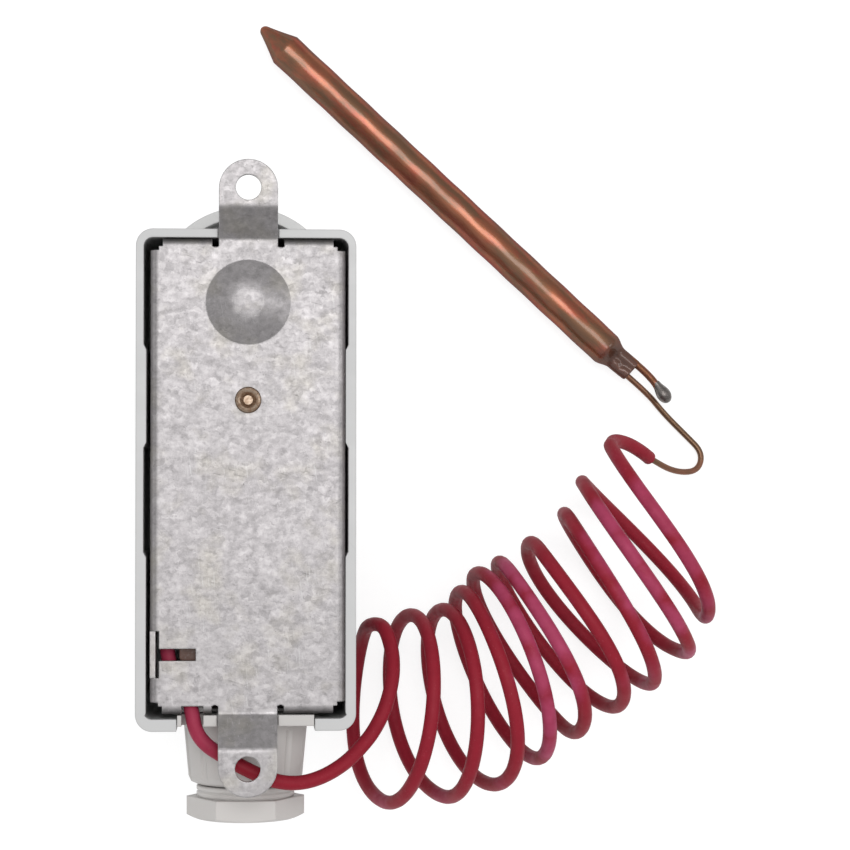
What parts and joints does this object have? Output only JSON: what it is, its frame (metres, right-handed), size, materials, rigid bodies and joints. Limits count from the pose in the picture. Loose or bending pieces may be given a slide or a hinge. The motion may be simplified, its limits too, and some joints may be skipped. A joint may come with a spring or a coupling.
{
  "type": "strap-on thermostat",
  "caption": "Boxed thermostat on a folded metal base with screw ears, setting knob, cable gland and a remote bulb on a sleeved, coiled capillary.",
  "frame": {"origin": "middle between the two ear holes, on the face of the ears that meets the wall", "axes": "+Z out of the back towards the wall, +Y from the cable gland to the knob end, +X to the side where the capillary lies"},
  "size_m": [0.1114, 0.1523, 0.0473],
  "materials": {
    "cover_plastic": "light grey moulded plastic, fine matt grain",
    "knob_plastic": "off-white moulded plastic",
    "gland_plastic": "warm light grey moulded plastic",
    "seal_rubber": "black rubber",
    "galvanised_sheet": "galvanised sheet with soft spangle and fine scratches",
    "rivet_brass": "dull brown brass",
    "plated_steel": "zinc plated steel",
    "copper": "copper with heat tints",
    "sleeve_rubber": "matt crimson silicone sleeve",
    "solder": "grey solder",
    "switch_plastic": "black moulded switch case",
    "brown_moulding": "brown thermosetting moulding",
    "plunger_plastic": "ivory plastic"
  },
  "bodies": {
    "housing": {"cover": "cover_plastic", "gland_body": "gland_plastic", "gland_seal": "seal_rubber", "base_plate": "galvanised_sheet", "base_rivet": "rivet_brass", "mechanism_frame": "plated_steel", "frame_bridge": "plated_steel", "lever_pin": "plated_steel", "range_spring": "plated_steel", "spindle_bush": "rivet_brass", "cover_post": "rivet_brass", "cover_screw": "plated_steel", "diaphragm_capsule": "copper", "switch_body": "switch_plastic", "switch_screws": "plated_steel", "terminal_strip": "brown_moulding", "terminal_clamps": "rivet_brass", "terminal_screws": "plated_steel", "contact_strips": "rivet_brass", "earth_screw": "rivet_brass", "capillary_sleeve": "sleeve_rubber", "sleeve_coil": "sleeve_rubber", "sleeve_end": "sleeve_rubber", "capillary_tail": "copper", "inner_capillary": "copper", "bulb": "copper", "fill_tube": "copper", "solder_bead": "solder"},
    "setting_knob": {"knob": "knob_plastic", "spindle": "plated_steel", "spindle_clip": "plated_steel"},
    "spring_seat": {"spring_seat": "rivet_brass"},
    "lever": {"lever": "plated_steel"},
    "plunger": {"switch_plunger": "plunger_plastic"},
    "button": {"capsule_button": "rivet_brass"},
    "gland_nut": {"gland_nut": "gland_plastic"}
  },
  "joints": [
    {"name": "knob_turn", "type": "hinge", "parent": "housing", "child": "setting_knob", "pos_m": [-0.00035, 0.0344, -0.042], "axis": [0, 0, 1], "range_deg": [-150, 150]},
    {"name": "seat_travel", "type": "slide", "parent": "housing", "child": "spring_seat", "axis": [0, 0, 1], "range_m": [-0.0007, 0.0007], "deforming": ["range_spring"]},
    {"name": "lever_rock", "type": "hinge", "parent": "housing", "child": "lever", "pos_m": [0, 0.04, -0.01535], "axis": [1, 0, 0], "range_deg": [0, 1.5], "stiffness_Nm_per_rad": 0.5, "springref_deg": -1.72},
    {"name": "plunger_press", "type": "slide", "parent": "housing", "child": "plunger", "axis": [0, 0, -1], "range_m": [0, 0.0009]},
    {"name": "button_push", "type": "slide", "parent": "housing", "child": "button", "axis": [0, 0, -1], "range_m": [0, 0.0003]},
    {"name": "gland_nut_turn", "type": "hinge", "parent": "housing", "child": "gland_nut", "pos_m": [-0.00035, -0.06, -0.0178], "axis": [0, -1, 0], "range_deg": [0, 360]}
  ],
  "couplings": [
    {"joint": "seat_travel", "follows": "knob_turn", "m_per_rad": 0.00023873},
    {"joint": "plunger_press", "follows": "lever_rock", "m_per_rad": 0.03},
    {"joint": "button_push", "follows": "lever_rock", "m_per_rad": 0.0081}
  ]
}
